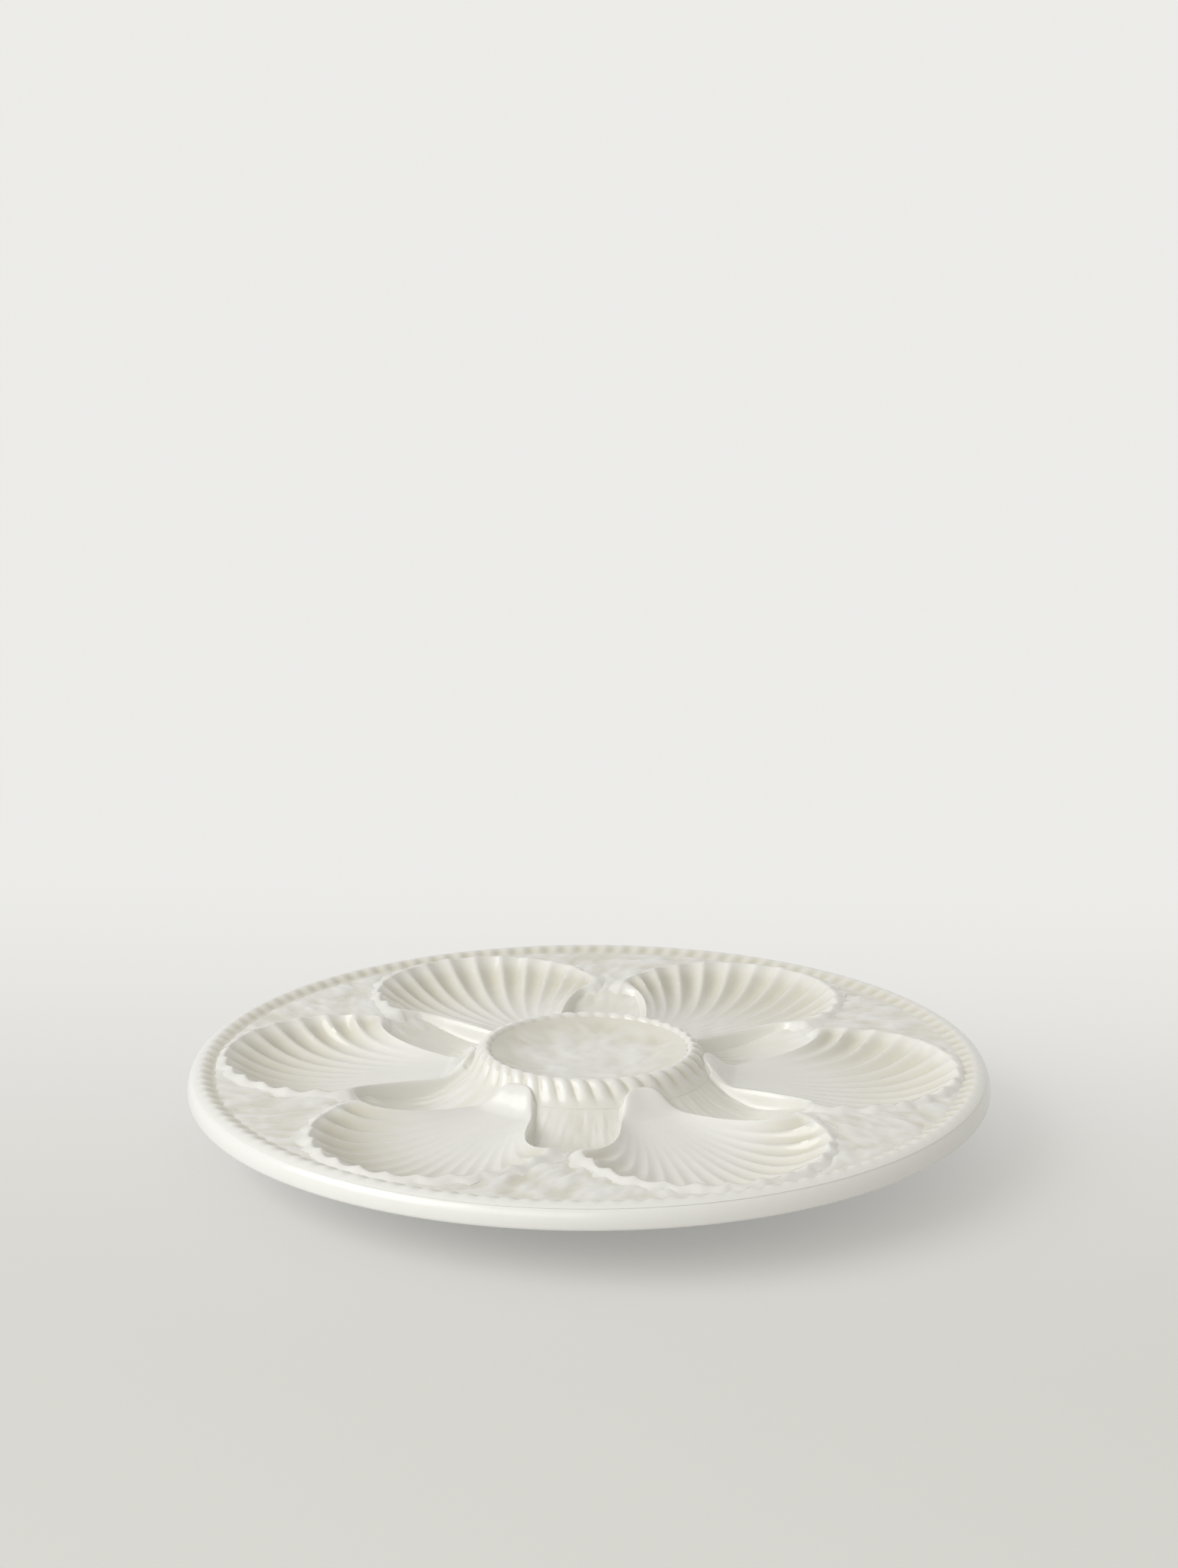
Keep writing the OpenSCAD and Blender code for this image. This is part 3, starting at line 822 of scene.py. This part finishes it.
class OYSTER_OT_dish(bpy.types.Operator):
    """Spin the shallow sauce dish and texture its hollow"""

    bl_idname = "oyster.dish"
    bl_label = "Sauce dish"

    STEPS, RINGS, BOWL_POWER = 300, 44, 3.8
    # Only what lies no more than this below the bowl's lowest point is textured
    BOWL_NEAR = 0.1 * MM
    # As on the body, and the pooled glaze and painted shade that the wall gathers between two radii
    LEVEL_POOL, RELIEF_POOL, WALL_POOL, WALL_START = 0.14, 0.7, 0.3, (14 * MM, 27 * MM)

    def execute(self, context):
        body, _ = forms()
        sizes = context.scene.oyster_plate
        reach, rings = sizes.dish_reach, self.RINGS
        line = [(0, DISH_LOW.z)]
        line += [
            (reach * k / rings, mix(sizes.dish_low, sizes.dish_edge, (k / rings) ** self.BOWL_POWER))
            for k in range(rings + 1)]
        line += [(reach, DISH_HIGH.z), (DISH_HIGH.x, DISH_HIGH.z)]
        line += [(DISH_HIGH.x, DISH_LOW.z), (0, DISH_LOW.z)]
        piece = spun_piece("centre_dish_glazed", line, self.STEPS)
        pools = []
        for vertex in piece.data.vertices:
            x, y, z = vertex.co
            pool = 0.0
            if z > sizes.dish_low - self.BOWL_NEAR:
                relief = body.dish_relief(x, y)
                vertex.co.z += relief
                # Painted shade with pooled glaze: the bowl's low places and its wall are greyer
                pool = self.LEVEL_POOL - self.RELIEF_POOL * relief / body.relief_height
                pool += self.WALL_POOL * fade(*self.WALL_START, math.hypot(x, y))
            pools.append(pool)
        set_pool(piece, pools)
        finish_piece(piece, "centre_dish")
        return {"FINISHED"}


class Strands(NamedTuple):
    """How a rope is cut: a higher power widens its grooves, and lean counts strands over its section."""

    count: int
    groove: float
    cuts: int
    lean: float
    power: float
    # Pooled glaze and painted shade in the grooves
    pooling: float


class OYSTER_OT_ropes(bpy.types.Operator):
    """Twist the rope round the dish and the rope inside the rim"""

    bl_idname = "oyster.ropes"
    bl_label = "Rope mouldings"

    # A section starts on the inner side, runs over the top and ends beyond the outer side, where the strands
    # run out on the boss or inside the rim's band. The underside closes it out of sight. Each point holds
    # its shares of the rope's width and height, the grooves' depth, and the pooled glaze and painted shade,
    # which are most at the rope's inner foot.
    DISH_SECTION = [
        (0.05, 0.3, 0, 0.45), (0.17, 0.54, 0.2, 0.35), (0.29, 0.77, 0.35, 0.2), (0.41, 0.93, 0.35, 0.08),
        (0.54, 1, 0.45, 0), (0.7, 0.96, 0.85, 0), (0.84, 0.84, 1, 0), (0.97, 0.65, 1, 0.04),
        (1.09, 0.38, 1, 0.08), (1.21, 0.08, 0.85, 0.12), (1.33, -0.22, 0.55, 0.15), (1.47, -0.5, 0.25, 0.2),
        (1.68, -0.83, 0, 0.25)]
    DISH_UNDER = [(1.17, -1.1, 0, 0), (0.31, -0.95, 0, 0), (0, -0.3, 0, 0)]
    RIM_SECTION = [
        (-0.45, 0.24, 0, 0.2), (-0.2, 0.36, 0.3, 0.3), (0, 0.48, 0.6, 0.35), (0.15, 0.62, 0.9, 0.35),
        (0.3, 0.78, 1, 0.3), (0.45, 0.9, 1, 0.2), (0.6, 0.98, 0.8, 0.1), (0.76, 1, 0.5, 0.04),
        (0.92, 0.94, 0.25, 0), (1.06, 0.84, 0.1, 0), (1.2, 0.72, 0, 0), (1.36, 0.54, 0, 0)]
    RIM_UNDER = [(0.94, 0.12, 0, 0), (0.1, 0.05, 0, 0)]
    # Steps between two points of a section, and how much the bottom of a groove is rounded
    ROUND_STEPS, GROOVE_ROUND = 3, 0.006

    def rope(self, node, low, high, section, under, strands):
        """A grid rolled into a ring whose strands are lobes. low and high are a radius and a height each."""
        path = smooth_path(section, self.ROUND_STEPS)
        shown = len(path)
        path += under
        rounds = len(path)
        line = [Vector((mix(low[0], high[0], a), mix(low[1], high[1], b))) for a, b, _, _ in path]
        columns = strands.count * strands.cuts
        piece, places = grid_piece(f"{node}_glazed", columns, rounds)
        pools = []
        for vertex, i, j in places:
            turn = 2 * math.pi * i / columns
            k = j % rounds
            _, _, depth, pool = path[k]
            way = line[(k + 1) % rounds] - line[k - 1]
            out = Vector((-way.y, way.x)).normalized()
            phase = strands.count * turn / 2 - math.pi * strands.lean * k / shown
            lobe = min((math.sin(phase) ** 2 + self.GROOVE_ROUND) ** strands.power, 1)
            place = line[k] - out * (strands.groove * depth * (1 - lobe))
            vertex.co = (place.x * math.cos(turn), place.x * math.sin(turn), place.y)
            # Painted shade with pooled glaze: greyer in the grooves between the strands
            pools.append(pool + strands.pooling * depth * (1 - lobe))
        set_pool(piece, pools)
        close_up()
        finish_piece(piece, node, FLUTED_ANGLE)

    def execute(self, context):
        body, _ = forms()
        ropes = context.scene.oyster_rope
        self.rope(
            "centre_rope", (DISH_HIGH.x, DISH_ROPE_LOW.z), (body.boss_radius, DISH_ROPE_HIGH.z),
            self.DISH_SECTION, self.DISH_UNDER,
            Strands(ropes.dish_strands, ropes.dish_groove, cuts=16, lean=1.1, power=0.5, pooling=0.5))
        self.rope(
            "rim_rope", (body.rope_in, RIM_ROPE_LOW.z), (body.rope_out, RIM_ROPE_HIGH.z),
            self.RIM_SECTION, self.RIM_UNDER,
            Strands(ropes.rim_strands, ropes.rim_groove, cuts=12, lean=-0.3, power=0.9, pooling=0.4))
        return {"FINISHED"}


class OYSTER_OT_shells(bpy.types.Operator):
    """Shape one fluted shell from a grid, then copy it round the dish"""

    bl_idname = "oyster.shells"
    bl_label = "Shell wells"

    # Cuts across a flute, over a skirt and along neck and well, where they crowd toward the lip
    CUTS, SKIRT_CUTS, NECK_CUTS, WELL_CUTS, CROWDING = 10, 6, 14, 72, 1.25
    THICKNESS = 0.5 * MM
    # Pooled glaze and painted shade all over, in the flutes, and in the well from its start to the lip
    LEVEL_POOL, FLUTE_POOL = 0.08, 0.36
    WELL_POOL, WELL_START, WELL_END = 0.2, (0.35, 0.8), (0.9, 1)
    # Painted shade, with some pooled glaze, on the neck's side walls: it sets in at this rate over the skirt
    # and runs out along it
    SIDE_POOL, SIDE_RATE, SIDE_END = 0.16, 3, (0.55, 0.9)

    def across(self, i, columns):
        """-1 to 1 over the flutes, and a little beyond on the skirt."""
        skirt = self.SKIRT_CUTS
        if i < skirt:
            return -1 - (skirt - i) / skirt
        if i > columns - skirt:
            return 1 + (i - columns + skirt) / skirt
        return 2 * (i - skirt) / (columns - 2 * skirt) - 1

    def along(self, j):
        """-1 at the umbo, 0 at the neck, 1 at the lip, and beyond on the skirt."""
        if j < self.SKIRT_CUTS:
            return -1 - (self.SKIRT_CUTS - j) / self.SKIRT_CUTS
        j -= self.SKIRT_CUTS
        if j < self.NECK_CUTS:
            return j / self.NECK_CUTS - 1
        j -= self.NECK_CUTS
        if j < self.WELL_CUTS:
            return 1 - (1 - j / self.WELL_CUTS) ** self.CROWDING
        return 1 + (j - self.WELL_CUTS) / self.SKIRT_CUTS

    def pool(self, shell, u, v):
        """How much pooled glaze and painted shade lies at a place of the shell."""
        pool = self.LEVEL_POOL
        if abs(u) < 1 and v < 1:
            pool += self.FLUTE_POOL * shell.rib_gain(v) * shell.valley(u)
            pool += self.WELL_POOL * fade(*self.WELL_START, v) * (1 - fade(*self.WELL_END, v))
        elif abs(u) >= 1:
            pool += self.SIDE_POOL * min(self.SIDE_RATE * (abs(u) - 1), 1) * (1 - fade(*self.SIDE_END, v))
        return pool

    def execute(self, context):
        _, shell = forms()
        columns = shell.flutes * self.CUTS + 2 * self.SKIRT_CUTS
        rows = 2 * self.SKIRT_CUTS + self.NECK_CUTS + self.WELL_CUTS
        first, places = grid_piece("shell_1_glazed", columns, rows)
        pools = []
        for vertex, i, j in places:
            u, v = self.across(i, columns), self.along(j)
            vertex.co = shell.point(u, v)
            pools.append(self.pool(shell, u, v))
        set_pool(first, pools)
        edit_whole(bpy.ops.mesh.flip_normals)
        solid = first.modifiers.new("wall", "SOLIDIFY")
        solid.thickness = self.THICKNESS
        solid.offset = -1
        bpy.ops.object.modifier_apply(modifier=solid.name)
        finish_piece(first, "shell_1", FLUTED_ANGLE)
        for number in range(2, SHELL_COUNT + 1):
            deselect()
            copy = first.copy()
            copy.data = first.data.copy()
            copy.name = copy.data.name = f"shell_{number}_glazed"
            bpy.context.scene.collection.objects.link(copy)
            copy.select_set(True)
            bpy.context.view_layer.objects.active = copy
            copy.rotation_euler = (0, 0, SECTOR * (number - 1))
            bpy.ops.object.transform_apply(location=False, rotation=True, scale=False)
            finish_piece(copy, f"shell_{number}", FLUTED_ANGLE)
        return {"FINISHED"}


class OYSTER_OT_stage(bpy.types.Operator):
    """Lay the floor, hang the lamps and set up the camera"""

    bl_idname = "oyster.stage"
    bl_label = "Stage"

    FLOOR_SIZE, FLOOR_ROUGHNESS = 60, 0.9
    # The floor grows pale behind the plate and far round it, from this share close to the plate
    PALE_LEAST, PALE_BEHIND, PALE_ROUND = 0.2, (-0.2, 0.3), (0.4, 1.2)
    SKY_COLOUR = (1.0, 0.965, 0.87)
    # Place, size and colour of each lamp
    WINDOW = ((-2.65, -1.4, 2.1), (3.2, 2.5), (0.98, 0.99, 1.0))
    FILL = ((-0.4, -1.5, 0.8), (1.2, 0.8), (1.0, 0.985, 0.95))
    # The fitted lens and the frame's longer side, in the photograph's pixels, and the sensor's width along
    # that side, in millimetres
    LENS_PIXELS, FRAME_PIXELS, SENSOR = 4154, 2048, 36

    def floor(self, settings):
        deselect()
        bpy.ops.mesh.primitive_plane_add(size=self.FLOOR_SIZE, location=(0, 0, 0))
        floor = named("floor")
        material, tree, shader = new_material("floor")
        shader.inputs["Base Color"].default_value = colour4(settings.floor)
        shader.inputs["Roughness"].default_value = self.FLOOR_ROUGHNESS
        place = Wire(tree, tree.nodes.new("ShaderNodeTexCoord").outputs["Object"])
        back = place.out("ShaderNodeSeparateXYZ", output=1, _0=place)
        distance = place.out("ShaderNodeVectorMath", {"operation": "LENGTH"}, 1, _0=place)
        far = (back.ramp(*self.PALE_BEHIND) + distance.ramp(*self.PALE_ROUND)).clamped()
        pale = place.out("ShaderNodeEmission", Color=colour4(settings.backdrop))
        seen = (self.PALE_LEAST + (1 - self.PALE_LEAST) * far) * seen_rays(place)
        plain = Wire(tree, shader.outputs[0])
        mixed = place.out("ShaderNodeMixShader", _0=seen, _1=plain, _2=pale)
        tree.links.new(mixed.socket, tree.nodes["Material Output"].inputs["Surface"])
        floor.data.materials.append(material)

    def sky(self, settings):
        """Even light from all round. The camera and the glaze's reflections see the backdrop instead."""
        world = bpy.data.worlds.new("sky")
        world.use_nodes = True
        tree = world.node_tree
        light = tree.nodes["Background"]
        light.inputs["Color"].default_value = colour4(self.SKY_COLOUR)
        light.inputs["Strength"].default_value = settings.sky
        wire = Wire(tree, light.outputs[0])
        pale = wire.out("ShaderNodeBackground", Color=colour4(settings.backdrop), Strength=1.0)
        mixed = wire.out("ShaderNodeMixShader", _0=seen_rays(wire), _1=wire, _2=pale)
        tree.links.new(mixed.socket, tree.nodes["World Output"].inputs["Surface"])
        bpy.context.scene.world = world

    def lamp(self, name, power, place, size, colour):
        bpy.ops.object.light_add(type="AREA", location=place)
        lamp = bpy.context.object
        lamp.name = name
        lamp.data.shape = "RECTANGLE"
        lamp.data.size, lamp.data.size_y = size
        lamp.data.energy = power
        lamp.data.color = colour
        aim = Vector((0, 0, BODY_HIGH.z)) - Vector(place)
        lamp.rotation_euler = aim.to_track_quat("-Z", "Y").to_euler()

    def camera(self, settings):
        """The camera stands as in the photograph: at its distance, height, tilt and turn."""
        target = Vector((0, 0, bpy.context.scene.oyster_plate.rim_height))
        flat = settings.distance * math.cos(settings.elevation)
        place = target + Vector((
            flat * math.sin(settings.turn), -flat * math.cos(settings.turn),
            settings.distance * math.sin(settings.elevation)))
        bpy.ops.object.camera_add(location=place, rotation=(math.pi / 2 - settings.pitch, 0, settings.turn))
        camera = bpy.context.object
        camera.data.sensor_width = self.SENSOR
        camera.data.lens = self.SENSOR * self.LENS_PIXELS / self.FRAME_PIXELS
        bpy.context.scene.camera = camera

    def execute(self, context):
        settings = context.scene.oyster_stage
        self.floor(settings)
        self.lamp("window", settings.key_power, *self.WINDOW)
        self.lamp("fill", settings.fill_power, *self.FILL)
        self.sky(settings)
        context.scene.view_settings.view_transform = "Standard"
        self.camera(settings)
        return {"FINISHED"}


class OYSTER_PT_panel(bpy.types.Panel):
    """Sizes and steps of the plate"""

    bl_label = "Oyster Plate"
    bl_idname = "OYSTER_PT_panel"
    bl_space_type = "VIEW_3D"
    bl_region_type = "UI"
    bl_category = "Oyster Plate"

    def draw(self, context):
        for group in GROUPS:
            settings = getattr(context.scene, group)
            box = self.layout.box()
            for name in settings.bl_rna.properties.keys():
                if name not in ("rna_type", "name"):
                    box.prop(settings, name)
        for step in STEPS:
            self.layout.operator(step.bl_idname)


GROUPS = {
    "oyster_plate": PlateSizes,
    "oyster_shell": ShellSizes,
    "oyster_rope": RopeSizes,
    "oyster_glaze": GlazeColours,
    "oyster_stage": StageSettings,
}
STEPS = (OYSTER_OT_body, OYSTER_OT_foot, OYSTER_OT_dish, OYSTER_OT_ropes, OYSTER_OT_shells, OYSTER_OT_stage)
CLASSES = (*GROUPS.values(), *STEPS, OYSTER_PT_panel)


def register():
    for item in CLASSES:
        bpy.utils.register_class(item)
    for name, group in GROUPS.items():
        setattr(bpy.types.Scene, name, PointerProperty(type=group))


def unregister():
    for name in GROUPS:
        delattr(bpy.types.Scene, name)
    for item in reversed(CLASSES):
        bpy.utils.unregister_class(item)


def main():
    register()
    bpy.ops.oyster.body()
    bpy.ops.oyster.foot()
    bpy.ops.oyster.dish()
    bpy.ops.oyster.ropes()
    bpy.ops.oyster.shells()
    bpy.ops.oyster.stage()


if __name__ == "__main__":
    main()
